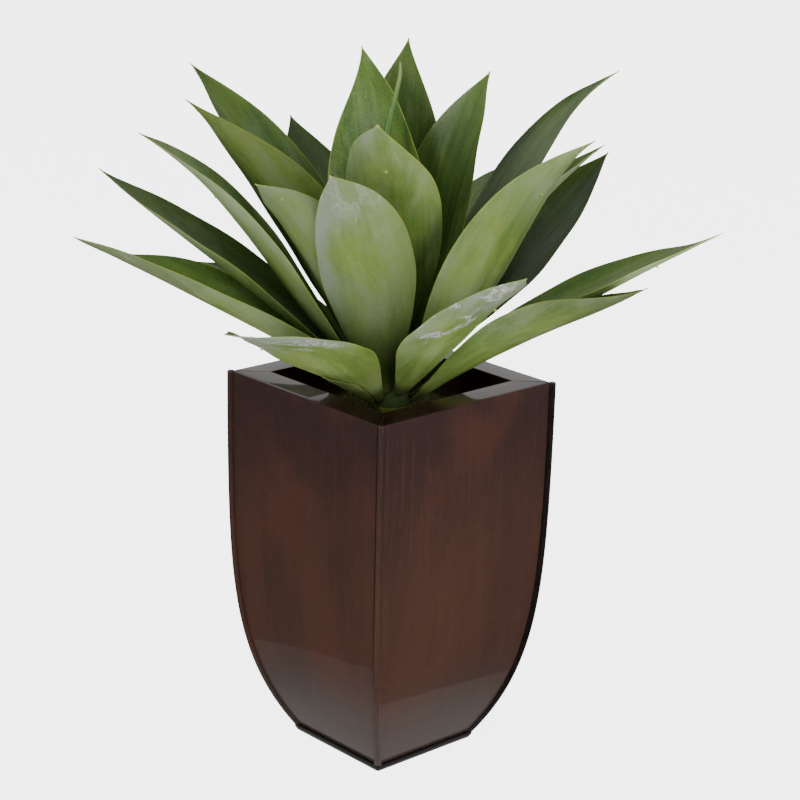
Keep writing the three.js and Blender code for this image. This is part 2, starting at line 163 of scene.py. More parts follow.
# One row a leaf, lowest first, as in the part's source: bearing, sideways sweep,
# rise at foot, middle and tip, length, width, roll, twist, tip curl,
# channel angle in the middle and at the tip, height and radius of the foot.
LEAVES = [
    (-41, -4, 41, 32, 27, 86, 34, 2, 6, 0, 25, 22, 385, 27),
    (73, -35, 38, 30, 30, 325, 118, 4, -22, 26, 56, 10, 391, 28),
    (-27, -1, 40, 24, 19, 325, 100, 29, -27, -10, 16, 33, 393, 27),
    (171, 0, 40, 28, 14, 345, 98, 8, 0, 0, 38, 38, 393, 26),
    (-54.5, -30.5, 38, 30.5, 26, 365, 118, 2, -19.5, 53, 56, 8, 395, 27.5),
    (74, 1, 37, 32, 32, 376, 97, 8, 2, -16, 44, 16, 396, 25),
    (-126, 0, 36, 20, 2, 280, 84, 10, 0, 0, 38, 38, 396, 24),
    (142, 0, 42, 29, 14, 330, 96, 10, 0, 0, 38, 38, 397, 24),
    (-73, 2, 48, 39.5, 42, 378, 98, -19, 14, -10, 44, 18, 397, 22),
    (117, 6, 46, 44.5, 43, 334, 105, -6, 24, 0, 17, 36, 399, 20),
    (-68, 5, 43, 54, 32, 384, 92, -12, 1, -6, 54, 26, 401, 20),
    (-11, -7, 57, 59, 29, 340, 102, 22, -9, 6, 34, 24, 401, 21),
    (23.5, 2, 41, 33, 32, 349, 91, -13, 49.5, -49, 34.5, 33.5, 401.5, 28.5),
    (-149, -6, 60, 40, 37, 355, 100, 0, 0, 0, 33, 28, 403, 15),
    (147, 2, 56, 41, 18, 322, 96, -2, -1, 0, 38, 34, 404, 19),
    (-41.5, 13, 56.5, 56, 23.5, 326, 97, 6.5, 1.5, 10, 51.5, 25, 406.5, 20),
    (59.5, -3, 43.5, 61, 34.5, 358, 106, -17.5, 4, 9, 41, 34.5, 408, 21),
    (89, -1, 51, 57, 38.5, 327, 97, 0, 1, 0, 38, 36, 408, 16),
    (-55, -4, 68, 55, 40, 388, 95, 38, -15, -10, 38, 26, 411, 16),
    (-115, -1, 68, 51.5, 42.5, 390, 100, -4, -6, 0, 24, 44, 412, 14),
    (100, 8, 55, 62, 29.5, 390, 100, 11, -6, -18, 12, 44, 416, 16),
    (-2, -3, 93, 56, 40, 355, 110, 0, -21, 0, 42, 24, 421, 9),
    (115, 3, 69, 78, 58, 323, 108, 16, 0, 2, 31, 18, 423, 12),
    (182, -13, 65, 80, 61.5, 347, 104, 14, -20, -8, 17, 33, 421, 12),
    (-157, 4.5, 66.5, 82, 50, 330, 112, -8.5, -52, -15, 38.5, 9, 432.5, 8),
]

# Relief of every leaf. Waves of the margin are (depth, turns along, turn between the two margins, share
# of the leaf's phase), and wrinkles are (depth, width, length, offset, layer).
MARGIN_WAVES = [(0.9, 11, 2, 1), (0.5, 27, 3, 1.7)]
LEAF_PHASE = 2.399
SWELL_DEPTH = 0.7
SWELL_SIZE = (26, 60)
GROOVE_DEPTH = 0.5
GROOVE_WIDTH = 0.05
WRINKLES = [(0.45, 3.2, 4.5, 0, 1), (0.2, 1.7, 2.2, 9, 2)]

# Details of single leaves, by number. Folds are (depth, place across, width across, middle along,
# reach along), and a nub is (along, across).
FOLDS = {
    2: [(1.6, -0.35, 0.16, 0.12, 0.12), (1.4, 0.3, 0.16, 0.14, 0.12)],
    12: [(-1.4, 0.06, 0.05, 0.18, 0.26), (0.9, 0.3, 0.2, 0.45, 0.25)],
    16: [(1.2, -0.35, 0.16, 0.4, 0.3)],
    17: [(2.2, 0.3, 0.1, 0.45, 0.3), (-1.6, 0.08, 0.12, 0.5, 0.28), (1.2, -0.25, 0.16, 0.4, 0.25)],
    19: [(1.0, 0.2, 0.2, 0.5, 0.3)],
    20: [(-2.0, 0.0, 0.1, 0.5, 0.4)],
    23: [(1.5, 0.35, 0.12, 0.4, 0.3), (-1.5, 0.1, 0.1, 0.4, 0.3), (1.5, -0.15, 0.12, 0.4, 0.3),
         (-1.2, -0.45, 0.12, 0.4, 0.3)],
}
NUBS = {
    3: (0.57, -0.85), 6: (0.805, -0.32), 11: (0.715, -0.15), 12: (0.735, 0.05),
    13: (0.65, 0.5), 16: (0.87, 0.27), 17: (0.755, 0.1),
}
WITHOUT_NUB = (1, 2, 5, 9, 18, 19)
NUB_PLACE = (0.76, 0.05)
PIPS = (0.275, 0.415)
PIP_ACROSS = 0.05

# Sizes of a nub and a pip, as (half width, height, half depth), and how strongly their colour shows.
NUB_SIZE = (1.7, 2.6, 0.9)
PIP_SIZE = (0.8, 0.5, 0.8)
NUB_MARK = 1.0
PIP_MARK = 0.55
NUB_SIDES = 10
NUB_SLANT = 0.35
NUB_ROOT = 0.4
NUB_ROOT_SHARE = 1.1
NUB_RINGS = ((0.35, 1.0), (0.8, 0.75), (1.0, 0.35))
NUB_PROBE = (0.01, 0.02)
OFF_MARGIN = 9.0

# Lightness of the underside and of the upper face, bloom and wrinkling of single
# leaves, where they differ from the usual. The lightness is partly the leaves' own colour and partly painted
# light and shade.
LEAF_TONES_AND_PAINTED_LIGHT = {
    1: (0.72, 0.8, 0.3, 0.2), 2: (1.0, 1.0, 0.4, 0.25), 3: (1.2, 1.0, 1.7, 1.0), 5: (1.0, 1.5, 0.45, 0.3),
    6: (1.7, 1.0, 0.5, 0.3), 7: (0.5, 0.45, 0.2, 0.2), 9: (1.2, 0.6, 0.6, 0.3),
    10: (0.9, 0.5, 0.05, 0.2), 11: (1.15, 1.25, 0.7, 0.25), 12: (1.13, 1.0, 0.78, 0.54),
    13: (1.16, 1.0, 0.9, 1.2), 14: (0.9, 0.56, 0.1, 0.2), 15: (1.0, 1.1, 0.5, 0.2), 16: (0.98, 1.0, 0.6, 0.3),
    17: (1.12, 1.0, 0.55, 0.3), 19: (0.6, 1.0, 0.0, 0.2), 20: (1.0, 1.05, 0.1, 0.2),
    21: (1.0, 0.86, 0.1, 0.3), 22: (1.28, 1.0, 0.4, 0.4), 23: (1.0, 1.22, 0.4, 0.2),
    24: (1.0, 1.05, 0.2, 0.2), 25: (1.0, 1.62, 0.1, 0.2),
}
USUAL_TONE_AND_LIGHT = (1.0, 1.0, 0.7, 0.25)

# Reach of the painted shade at the foot, in metres: short on the outermost leaves.
OUTERMOST = (1, 2, 3, 4, 5, 6, 7, 8, 9, 13)
SHORT_SHADE = 0.03
LONG_SHADE = 0.12
SHADES = {16: 0.08, 17: 0.17, 19: 0.035}

# Leaves whose bloom starts late along the blade, and the side it leans to.
NOT_LATE = -1
LATE_BLOOM = {3: 0.52}
BLOOM_LEAN = {3: 0.3, 12: -0.6, 17: 0.55, 22: -0.5}

# The side of the blade that carries the film, and leaves whose outer half gets painted shade.
FILM_SIDE = {3: 1, 13: -1}
OUTER_SHADE = {2: 0.78, 5: 0.7, 13: 0.88}

# The power that shapes a tip, and leaves whose tip is blunter.
USUAL_TIP = 2.0
BLUNT_TIPS = {13: 2.6, 22: 2.4}

# Rolled young leaf: its middle line, with the radius at each point.
SPEAR_LINE = [
    (0, 0, 427), (-1.5, -1.5, 473), (-6, -6, 543), (-8.5, -8.5, 613), (-6.5, -6.8, 673),
    (-1.8, -1.9, 707), (1.4, 1.5, 731), (1.5, 1.6, 745),
]
SPEAR_RADII = [2.2, 3.2, 4, 4.2, 4, 2.7, 2.1, 1.2]
SPEAR_STEPS = 60
SPEAR_SIDES = 28
SPEAR_TWIST = 0.006
SPEAR_LAP = 0.16
SPEAR_LAP_FROM = 0.93
SPEAR_INSET = 0.94

# Camera, fitted to the photograph

CAMERA_AZIMUTH = 47.666
CAMERA_RISE = 17.45
CAMERA_ROLL = 1.363
CAMERA_DISTANCE = 2.49534
CAMERA_AIM = 0.38683
CAMERA_SIDE = 0.00996
CAMERA_LENS = 106.2
SENSOR_WIDTH = 36
CLIP_END = 60

# Light. A lamp is (name, azimuth from the camera to its right, rise, power).

LIGHTS = [
    ("front_right_light", 45, 12, 36),
    ("front_left_light", -45, 12, 37),
    ("front_light", 0, 20, 7),
    ("back_left_light", -135, 45, 6),
    ("top_light", 0, 89, 9),
]
LIGHT_DISTANCE = 3.0
LIGHT_SIZE = 1.8
LIGHT_AIM = 0.4
WORLD_FILL = 0.2
WORLD_SEEN = 5.0
BACKDROP_GLOSS = 0.6
OVERHEAD_GLOSS = 0.15
DARK_GLOSS = 0.04
FLOOR_GLOW = 0.28
FLOOR_SEEN = 4.4
FLOOR_REACH = 9.0
BACKDROP_SPAN = (0.1, 0.75)
HORIZON_SPAN = (-0.02, 0.04)
OVERHEAD_SPAN = (0.35, 0.9)
CARD_EDGE_GLOW = 0.17
CARD_FOOT_GLOW = 0.31
CARD_SPAN = (0.1, 0.24)
CARD_HEIGHT = 0.0005
CARD_OUTLINE = [
    (-0.30, -0.14), (-0.17, -0.207), (-0.05, -0.245), (0.16, -0.16), (0.165, 0.0), (0.157, 0.08),
    (0.14, 0.19), (-0.2, 0.24),
]

# Colours

WHITE = (1.0, 1.0, 1.0, 1.0)
BLACK = (0.0, 0.0, 0.0, 1.0)
PAINTED_GLINT_WHITE = (1.0, 1.0, 0.98, 1.0)


def srgb(code):
    """A colour in linear values from its usual six-figure code."""
    channels = [int(code[k:k + 2], 16) / 255 for k in (0, 2, 4)]
    return [c / 12.92 if c < 0.04045 else ((c + 0.055) / 1.055) ** 2.4 for c in channels] + [1.0]


def smooth(low, high, x):
    """Smooth rise from 0 to 1 between two values."""
    u = np.clip((x - low) / (high - low), 0, 1)
    return u * u * (3 - 2 * u)


# Meshes


def placed(name, data):
    """A new object in the scene."""
    thing = bpy.data.objects.new(name, data)
    bpy.context.scene.collection.objects.link(thing)
    return thing


def make_object(name, points, faces, material, sharp, attributes=None):
    """A piece that rides on the part, from points in mm, with outward faces and a vector at each point."""
    points = np.asarray(points, float)
    faces = outward_faces(points, faces)
    mesh = bpy.data.meshes.new(name)
    mesh.from_pydata([tuple(v) for v in points * MM], [], faces)
    mesh.validate()
    for key, values in (attributes or {}).items():
        layer = mesh.attributes.new(key, "FLOAT_VECTOR", "POINT")
        layer.data.foreach_set("vector", np.asarray(values, np.float32).ravel())
    mesh.shade_smooth()
    mesh.set_sharp_from_angle(angle=math.radians(sharp))
    mesh.materials.append(material)
    piece = placed(name, mesh)
    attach(piece, "root")
    return piece


def turned(points, degrees):
    """Points turned round the upright axis."""
    a = math.radians(degrees)
    c, s = math.cos(a), math.sin(a)
    p = np.asarray(points, float)
    return np.stack([p[:, 0] * c - p[:, 1] * s, p[:, 0] * s + p[:, 1] * c, p[:, 2]], 1)


def outward_faces(points, faces):
    """Turns the faces over where a closed body has come out inside out."""
    volume = 0.0
    for face in faces:
        a = points[face[0]]
        for i in range(1, len(face) - 1):
            volume += np.dot(a, np.cross(points[face[i]], points[face[i + 1]]))
    return faces if volume > 0 else [tuple(reversed(face)) for face in faces]


def ring_faces(rings, count, offset=0):
    """Quads between rings of points, and the two end caps."""
    faces = []
    for r in range(rings - 1):
        for k in range(count):
            a = offset + r * count + k
            b = offset + r * count + (k + 1) % count
            faces.append((a, b, b + count, a + count))
    faces.append(tuple(offset + k for k in reversed(range(count))))
    faces.append(tuple(offset + (rings - 1) * count + k for k in range(count)))
    return faces


def lattice(x, y, z, seed):
    """Smooth random values between -1 and 1 over a plane, the same at each run."""
    def corner(*place):
        turn = sum(factor * value for factor, value in zip(LATTICE_FACTORS, (*place, seed)))
        v = np.sin(turn) * LATTICE_SPREAD
        return (v - np.floor(v)) * 2 - 1
    i, j = np.floor(x), np.floor(y)
    u, v = x - i, y - j
    u, v = u * u * (3 - 2 * u), v * v * (3 - 2 * v)
    near = corner(i, j, z) * (1 - u) + corner(i + 1, j, z) * u
    far = corner(i, j + 1, z) * (1 - u) + corner(i + 1, j + 1, z) * u
    return near * (1 - v) + far * v


# Materials


class Graph:
    """Adds nodes to the tree of a material or world. Most methods return the new node's output socket."""

    def __init__(self, owner):
        owner.use_nodes = True
        self.nodes = owner.node_tree.nodes
        self.links = owner.node_tree.links

    def add(self, kind, **settings):
        node = self.nodes.new(kind)
        for key, value in settings.items():
            setattr(node, key, value)
        return node

    def put(self, socket, value):
        """Links another node's output to a socket, or sets the socket to a constant."""
        if isinstance(value, bpy.types.NodeSocket):
            self.links.new(value, socket)
        else:
            socket.default_value = value

    def math(self, operation, a, b=0.0, clamp=False):
        node = self.add("ShaderNodeMath", operation=operation, use_clamp=clamp)
        self.put(node.inputs[0], a)
        self.put(node.inputs[1], b)
        return node.outputs[0]

    def times(self, a, b, clamp=False):
        return self.math("MULTIPLY", a, b, clamp)

    def span(self, value, low, high, to_low=0.0, to_high=1.0):
        """A value's smooth way from one range to another."""
        node = self.add("ShaderNodeMapRange", interpolation_type="SMOOTHSTEP", clamp=True)
        for socket, item in zip(node.inputs, (value, low, high, to_low, to_high)):
            self.put(socket, item)
        return node.outputs[0]

    def mix(self, factor, a, b, blend="MIX"):
        """A mix of two colours. The node's sockets 6 and 7 take colours, and its output 2 gives one."""
        node = self.add("ShaderNodeMix", data_type="RGBA", blend_type=blend)
        self.put(node.inputs[0], factor)
        self.put(node.inputs[6], a)
        self.put(node.inputs[7], b)
        return node.outputs[2]

    def tint(self, color, code, *span):
        """A colour mixed with another, by the span of a value."""
        return self.mix(self.span(*span), color, srgb(code))

    def grey(self, value):
        node = self.add("ShaderNodeCombineColor")
        for socket in node.inputs[:3]:
            self.put(socket, value)
        return node.outputs[0]

    def attribute(self, name):
        return self.add("ShaderNodeAttribute", attribute_name=name).outputs["Vector"]

    def split(self, vector):
        node = self.add("ShaderNodeSeparateXYZ")
        self.put(node.inputs[0], vector)
        return node.outputs

    def scaled(self, vector, scale):
        node = self.add("ShaderNodeMapping")
        self.put(node.inputs["Vector"], vector)
        node.inputs["Scale"].default_value = scale
        return node.outputs[0]

    def noise(self, vector, scale, detail=3.0, roughness=0.5, distortion=0.0):
        """Noise between 0 and 1. The scale counts its grains a metre along each axis."""
        node = self.add("ShaderNodeTexNoise")
        self.put(node.inputs["Vector"], self.scaled(vector, scale))
        values = {"Scale": 1.0, "Detail": detail, "Roughness": roughness, "Distortion": distortion}
        for key, value in values.items():
            node.inputs[key].default_value = value
        return node.outputs["Fac"]

    def bump(self, height, distance, strength=1.0, normal=None):
        node = self.add("ShaderNodeBump")
        self.put(node.inputs["Height"], height)
        node.inputs["Distance"].default_value = distance
        self.put(node.inputs["Strength"], strength)
        if normal is not None:
            self.put(node.inputs["Normal"], normal)
        return node.outputs[0]


class Shader(Graph):
    """Builds one node material."""

    def __init__(self, name):
        self.material = bpy.data.materials.new(name)
        super().__init__(self.material)
        self.bsdf = self.nodes["Principled BSDF"]

    def position(self):
        return self.add("ShaderNodeTexCoord").outputs["Object"]

    def finish(self, color, roughness, normal=None, **constants):
        self.put(self.bsdf.inputs["Base Color"], color)
        self.put(self.bsdf.inputs["Roughness"], roughness)
        if normal is not None:
            self.put(self.bsdf.inputs["Normal"], normal)
        for key, value in constants.items():
            self.bsdf.inputs[key.replace("_", " ")].default_value = value
        return self.material


def leaf_material():
    """Soft moulded leaf: blotched and streaked green, bloom at edge and tip, crinkled film in places with
    painted highlights, painted shade at the foot.
    """
    m = Shader("leaf_skin")
    flat = m.attribute("leaf_flat")
    along, across, side = m.split(m.attribute("leaf_place"))
    edge, light, bloom = m.split(m.attribute("leaf_tone_and_light"))
    wrinkle, mark, shade = m.split(m.attribute("leaf_marks_and_shade"))
    from_foot = m.split(flat)[1]

    streak = m.noise(flat, (170, 7, 1), 4, 0.6)
    patch = m.noise(flat, (30, 11, 1), 4, 0.6, 0.4)
    cloud = m.noise(flat, (14, 14, 1), 2, 0.5)
    sheen = m.noise(flat, (44, 13, 1), 5, 0.62, 0.5)
    fibre = m.noise(flat, (1300, 45, 1), 3, 0.6)
    speck = m.noise(flat, (260, 260, 1), 2, 0.5)
    grain = m.noise(flat, (900, 620, 1), 2, 0.6)
    off_middle = m.math("ABSOLUTE", across)

    under = m.tint(srgb("6c8e35"), "93a953", patch, 0.34, 0.66)
    under = m.tint(under, "a3b468", streak, 0.4, 0.75, 0, 0.35)
    under = m.tint(under, "a9b98a", sheen, 0.48, 0.7, 0, 0.5)
    under = m.tint(under, "62862f", sheen, 0.28, 0.46, 0.35, 0)
    upper = m.tint(srgb("45662a"), "617f2b", patch, 0.38, 0.62)
    upper = m.tint(upper, "759340", streak, 0.42, 0.75, 0, 0.5)
    upper = m.tint(upper, "34511f", streak, 0.25, 0.45, 0.4, 0)
    upper = m.tint(upper, "7c9570", sheen, 0.52, 0.7, 0, 0.4)

    toward_edge = m.times(m.span(off_middle, 0.35, 1), 0.5)
    toward_tip = m.times(m.span(along, 0.62, 0.98), 0.8)
    haze = m.math("ADD", toward_edge, toward_tip)
    haze = m.math("ADD", haze, m.span(cloud, 0.4, 0.7, 0, 0.4))
    haze = m.times(haze, m.span(along, 0.16, 0.5, 0.12, 1))
    haze = m.times(haze, bloom)
    haze = m.times(haze, m.span(sheen, 0.3, 0.6, 0.55, 1.1), clamp=True)
    under = m.mix(haze, under, srgb("a1ad99"))
    upper = m.mix(m.times(haze, 0.4), upper, srgb("7f9168"))

    color = m.mix(side, under, upper)
    color = m.tint(color, "c2cc9c", grain, 0.42, 0.72, 0, 0.13)
    color = m.tint(color, "2f4a1a", grain, 0.28, 0.5, 0.14, 0)
    color = m.tint(color, "a9bb4e", edge, 0.25, 0.95, 0.7, 0)
    color = m.tint(color, "c3cd8c", speck, 0.72, 0.78, 0, 0.25)
    color = m.tint(color, "cfcb82", along, 0.982, 0.995)
    color = m.mix(mark, color, srgb("bcc75e"))
    # Painted shade: towards the foot each leaf darkens, down to 0.3 of its colour, over the reach given for
    # it.
    foot = m.span(from_foot, m.times(shade, 0.25), shade, 0.3, 1)
    # Painted light and shade: the colour is multiplied by the leaf's lightness, which is partly its own
    # colour.
    color = m.mix(1.0, color, m.grey(m.times(light, foot)), "MULTIPLY")

    # The film is on undersides alone. It starts nearer to the foot on the leaves that carry most of it.
    film_start = m.math("SUBTRACT", 0.97, m.times(wrinkle, 0.47))
    film = m.span(m.math("SUBTRACT", along, film_start), 0, 0.1)
    film = m.times(film, m.span(m.noise(flat, (48, 24, 1), 2, 0.5, 0.4), 0.5, 0.57))
    film = m.times(film, m.span(wrinkle, 0.3, 1), clamp=True)
    film = m.times(film, m.span(side, 0.2, 0.6, 1, 0))
    creases = m.noise(flat, (330, 230, 1), 3, 0.6, 1.4)
    ridge_highlights = m.math("ABSOLUTE", m.math("SUBTRACT", creases, 0.5))
    ridge_highlights = m.times(m.span(ridge_highlights, 0.015, 0.11, 1, 0), film)
    painted_glints = m.times(m.span(m.noise(flat, (140, 90, 1), 2, 0.5), 0.42, 0.52), ridge_highlights)
    # The film's pale tint is painted sheen, and its white crease lines and glint spots are painted
    # highlights; the crinkles themselves are bump and lower roughness.
    color = m.mix(m.times(film, 0.25), color, srgb("a3ad96"))
    color = m.mix(m.times(ridge_highlights, 0.45), color, srgb("dfe4d6"))
    color = m.mix(m.times(painted_glints, 0.9), color, PAINTED_GLINT_WHITE)

    roughness = m.span(fibre, 0.2, 0.8, 0.36, 0.46)
    roughness = m.math("SUBTRACT", roughness, m.times(film, 0.2))
    normal = m.bump(fibre, 0.00012, 0.7)
    normal = m.bump(grain, 0.00022, 0.5, normal)
    normal = m.bump(m.noise(flat, (60, 12, 1), 3, 0.5), 0.0012, 0.5, normal)
    normal = m.bump(creases, 0.0012, film, normal)
    m.put(m.bsdf.inputs["Specular IOR Level"], m.times(m.math("MINIMUM", light, 1.0), 0.5))
    return m.finish(color, roughness, normal)


def young_leaf_material():
    """Streaked green, paler at the tip."""
    m = Shader("young_leaf_skin")
    place = m.position()
    streak = m.noise(place, (900, 900, 14), 3, 0.6)
    height = m.split(place)[2]
    color = m.tint(srgb("5a8845"), "7aa352", streak, 0.35, 0.7)
    color = m.tint(color, "9db36a", height, 0.69, 0.745)
    return m.finish(color, 0.42, m.bump(streak, 0.0002, 0.6))


def stem_material():
    """Crown in dull green, paler where it comes out of the moss."""
    m = Shader("stem_skin")
    place = m.position()
    height = m.split(place)[2]
    grain = m.noise(place, (500, 500, 500), 3, 0.6)
    color = m.tint(srgb("93a44c"), "4b5a30", height, 0.384, 0.3862)
    color = m.tint(color, "35431f", grain, 0.35, 0.75, 0, 0.5)
    return m.finish(color, 0.62, m.bump(grain, 0.0006, 0.7), Specular_IOR_Level=0.25)


def lacquer_material():
    """Brown lacquer, burnished by hand: darker at the rim, with fine upright strokes, a painted grey
    reflection of the floor at the foot, and painted light and shade on each wall.
    """
    m = Shader("lacquer_skin")
    place = m.position()
    height = m.split(place)[2]
    tone_and_light, polish, _ = m.split(m.attribute("wall_light_and_polish"))
    streak = m.noise(place, (150, 150, 5), 5, 0.62)
    band = m.noise(place, (26, 26, 3.2), 3, 0.5)
    blotch = m.noise(place, (10, 10, 7), 3, 0.55)
    fine = m.noise(place, (800, 800, 60), 3, 0.6)
    level = m.noise(place, (500, 500, 900), 2, 0.5)
    color = m.tint(srgb("56382c"), "3a2726", height, 0.2, 0.42)
    color = m.tint(color, "3d2a27", band, 0.35, 0.65, 0.45, 0)
    color = m.tint(color, "5f382c", blotch, 0.45, 0.68, 0, 0.5)
    color = m.tint(color, "6a4337", streak, 0.5, 0.8, 0, 0.3)
    color = m.tint(color, "2c1f1e", streak, 0.2, 0.42, 0.3, 0)
    color = m.tint(color, "7a5041", fine, 0.45, 0.8, 0, 0.22)
    color = m.tint(color, "2a1e1c", level, 0.45, 0.8, 0, 0.2)
    # Painted reflection: the lacquer greys towards the foot, where it would mirror the pale floor.
    color = m.tint(color, "4a433d", height, 0.03, 0.145, 0.65, 0)
    # Painted light and shade: the colour is multiplied by each wall's and corner strip's factor, which holds
    # the painted shade of the front lips.
    color = m.mix(1.0, color, m.grey(tone_and_light), "MULTIPLY")
    wave = m.noise(place, (7, 7, 5), 2, 0.4)
    swell = m.noise(place, (3, 3, 38), 2, 0.4)
    coat = m.bump(swell, 0.0003, 0.5, m.bump(wave, 0.0009, 0.35))
    m.put(m.bsdf.inputs["Coat Normal"], coat)
    m.put(m.bsdf.inputs["Coat Weight"], polish)
    m.put(m.bsdf.inputs["Specular IOR Level"], m.times(polish, 0.2))
    return m.finish(color, m.span(fine, 0.3, 0.7, 0.42, 0.55), m.bump(wave, 0.0009, 0.5),
                    Metallic=0.0, Coat_Roughness=0.045)


def black_material():
    """Black lacquer of the base plate and of the seams."""
    m = Shader("black_lacquer_skin")
    place = m.position()
    fine = m.noise(place, (300, 300, 60), 3, 0.6)
    color = m.tint(srgb("120d0c"), "211815", fine, 0.3, 0.75)
    return m.finish(color, m.span(fine, 0.3, 0.7, 0.3, 0.42), m.bump(fine, 0.0001, 0.4),
                    Coat_Weight=0.6, Coat_Roughness=0.06, Specular_IOR_Level=0.3)


def soil_material():
    """Dry bark fill."""
    m = Shader("soil_skin")
    place = m.position()
    grain = m.noise(place, (260, 260, 260), 5, 0.65)
    lumps = m.noise(place, (60, 60, 60), 3, 0.5)
    color = m.tint(srgb("554b3b"), "857760", grain, 0.35, 0.7)
    color = m.tint(color, "80745a", lumps, 0.5, 0.75, 0, 0.5)
    return m.finish(color, 0.95, m.bump(grain, 0.002), Specular_IOR_Level=0.2)


def moss_material():
    """Preserved moss in green and brown."""
    m = Shader("moss_skin")
    place = m.position()
    grain = m.noise(place, (420, 420, 420), 4, 0.65)
    lumps = m.noise(place, (70, 70, 70), 3, 0.5)
    color = m.tint(srgb("656b3c"), "a8aa74", grain, 0.35, 0.68)
    color = m.tint(color, "86724c", lumps, 0.45, 0.75, 0, 0.6)
    return m.finish(color, 0.9, m.bump(grain, 0.0012), Specular_IOR_Level=0.2)


def twig_material():
    """Red-brown bark."""
    m = Shader("twig_skin")
    place = m.position()
    grain = m.noise(place, (800, 800, 120), 3, 0.6)
    color = m.tint(srgb("4a2a20"), "7a4534", grain, 0.3, 0.7)
    return m.finish(color, 0.7, m.bump(grain, 0.0003))


# Leaves


def width_share(t, power):
    """Share of the full width at shares t of the length. A higher power makes a blunter tip."""
    rising = FOOT_WIDTH_SHARE + (1 - FOOT_WIDTH_SHARE) * np.sin(
        np.clip(t / WIDEST_AT, 0, 1) * math.pi / 2) ** FOOT_FLARE
    v = np.clip((t - WIDEST_AT) / (1 - WIDEST_AT), 0, 1)
    falling = (1 - v ** power) * (1 - 0.5 * v ** 6)
    return np.where(t < WIDEST_AT, rising, falling)


def through(foot, middle, tip, t):
    """Curve through values at the foot, the middle and the tip."""
    return foot * (1 - t) * (1 - 2 * t) + middle * 4 * t * (1 - t) + tip * t * (2 * t - 1)


def leaf_axes(row, t):
    """Directions along, across and up from the section, at shares t of the length."""
    bearing, sweep, foot, middle, tip = row[:5]
    roll, twist, curl = row[7:10]
    rise = np.radians(through(foot, middle, tip, t))
    heading = np.radians(FRONT_BEARING + bearing + sweep * t)
    along = np.stack([np.cos(rise) * np.cos(heading), np.cos(rise) * np.sin(heading), np.sin(rise)], 1)
    level = np.stack([-np.sin(heading), np.cos(heading), np.zeros_like(heading)], 1)
    above = np.cross(along, level)
    turn = np.radians(roll + twist * t + curl * t ** 4)[:, None]
    across = level * np.cos(turn) + above * np.sin(turn)
    up = above * np.cos(turn) - level * np.sin(turn)
    return along, across, up


def leaf_midrib(row, t):
    """Points of the middle line, in mm, at shares t of the length."""
    bearing, length, foot_height, foot_radius = row[0], row[5], row[12], row[13]
    steps = np.linspace(0, 1, PATH_STEPS + 1)
    along = leaf_axes(row, steps)[0]
    hops = (along[1:] + along[:-1]) / 2 * length / PATH_STEPS
    start = math.radians(FRONT_BEARING + bearing)
    first = np.array([math.cos(start) * foot_radius, math.sin(start) * foot_radius, foot_height])
    path = np.vstack([first, first + np.cumsum(hops, 0)])
    return np.stack([np.interp(t, steps, path[:, k]) for k in range(3)], 1)


def leaf_relief(number, t, s, half_width, length):
    """Height in mm by which the blade stands out towards its underside."""
    relief = np.zeros(np.broadcast(t, s).shape)
    for depth, place, spread, middle, reach in FOLDS.get(number, []):
        relief += depth * np.exp(-((s - place) / spread) ** 2 - ((t - middle) / reach) ** 2)
    margin = np.abs(s) ** 5 * smooth(0.06, 0.3, t) * (1 - smooth(0.85, 1.0, t))
    for depth, waves, apart, turn in MARGIN_WAVES:
        relief += margin * depth * np.sin(waves * t + apart * np.sign(s) + turn * number * LEAF_PHASE)
    swell_across, swell_along = SWELL_SIZE
    broad = lattice(s * half_width / swell_across + 3, t * length / swell_along, 0, number)
    relief += SWELL_DEPTH * broad * smooth(0.1, 0.4, t) * (1 - smooth(0.8, 1.0, t))
    groove = np.exp(-(s / GROOVE_WIDTH) ** 2) * (1 - smooth(0.3, 0.75, t)) * smooth(0.01, 0.06, t)
    relief += GROOVE_DEPTH * groove
    strength = LEAF_TONES_AND_PAINTED_LIGHT.get(number, USUAL_TONE_AND_LIGHT)[3]
    near_tip = smooth(0.8, 0.93, t) * (1 - smooth(0.97, 1.0, t)) * strength
    for depth, wide, long, offset, layer in WRINKLES:
        relief += near_tip * depth * lattice(s * half_width / wide + offset, t * length / long, layer, number)
    return relief


def leaf_skins(number, row, t, s):
    """Points of the underside and of the upper face, in mm, and half widths."""
    length, width, channel, channel_tip = row[5], row[6], row[10], row[11]
    _, across, up = leaf_axes(row, t)
    centre = leaf_midrib(row, t)
    share = width_share(t, BLUNT_TIPS.get(number, USUAL_TIP))
    half_width = np.maximum(width / 2 * share, TIP_HALF_WIDTH)
    bend = np.radians(channel + (FOOT_CHANNEL - channel) * np.maximum(1 - 2 * t, 0) ** 2
                      + (channel_tip - channel) * np.maximum(2 * t - 1, 0) ** 2)
    radius = half_width / bend
    rib = RIB_THICKNESS + RIB_FOOT_EXTRA * (1 - t) ** 3
    thickness = MARGIN_THICKNESS + (rib[:, None] - MARGIN_THICKNESS) * (1 - s[None, :] ** 2)
    relief = leaf_relief(number, t[:, None], s[None, :], half_width[:, None], length)
    angle = bend[:, None] * s[None, :]

    def skin(offset):
        distance = radius[:, None] + relief + offset
        sideways = (distance * np.sin(angle))[..., None]
        upward = (radius[:, None] - distance * np.cos(angle))[..., None]
        return centre[:, None, :] + across[:, None, :] * sideways + up[:, None, :] * upward

    return skin(thickness / 2), skin(-thickness / 2), half_width


